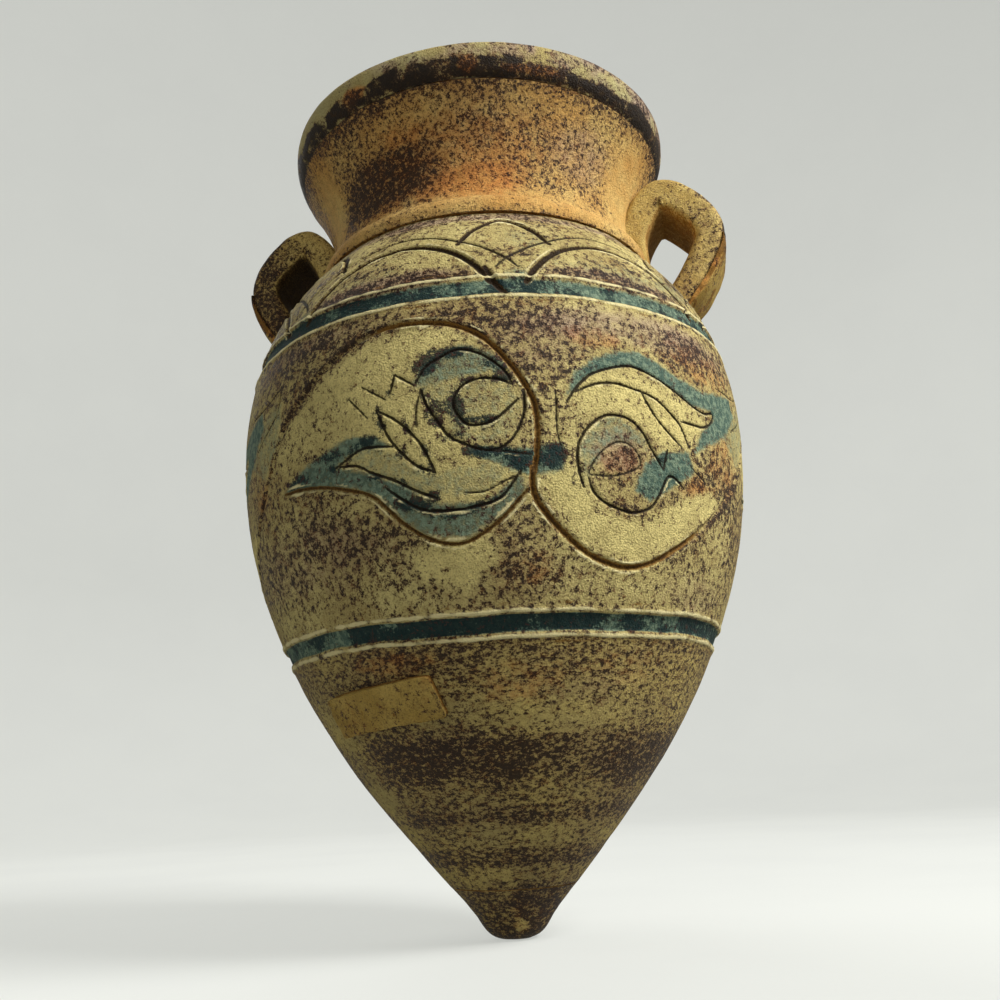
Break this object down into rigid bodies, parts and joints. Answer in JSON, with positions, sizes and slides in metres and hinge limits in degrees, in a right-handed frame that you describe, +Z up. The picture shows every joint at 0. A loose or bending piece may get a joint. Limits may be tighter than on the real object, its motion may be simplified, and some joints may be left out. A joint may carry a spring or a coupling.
{
  "type": "amphora",
  "caption": "Pointed terracotta jar with a round belly, flared neck, rolled lip and strap handles from neck to shoulder, for holding liquid or dry goods.",
  "frame": {"origin": "middle of the toe's flat end, on the jar's axis", "axes": "+Z up the jar's axis to the mouth, handles on +X and -X"},
  "size_m": [0.2078, 0.2, 0.322],
  "materials": {
    "painted_clay": "unglazed, incised and mottled",
    "ochre_clay": "unglazed, speckled",
    "lip_clay": "unglazed, with a dark painted line",
    "dark_clay": "unglazed, smoke dark",
    "bare_clay": "unglazed, plain"
  },
  "bodies": {
    "root": {"toe": "dark_clay", "base_cone": "painted_clay", "belly_wall": "painted_clay", "shoulder": "painted_clay", "neck": "ochre_clay", "rim_lip": "lip_clay", "right_handle": "ochre_clay", "left_handle": "ochre_clay", "right_handle_wad": "bare_clay", "left_handle_wad": "bare_clay", "tablet": "bare_clay"}
  },
  "joints": []
}
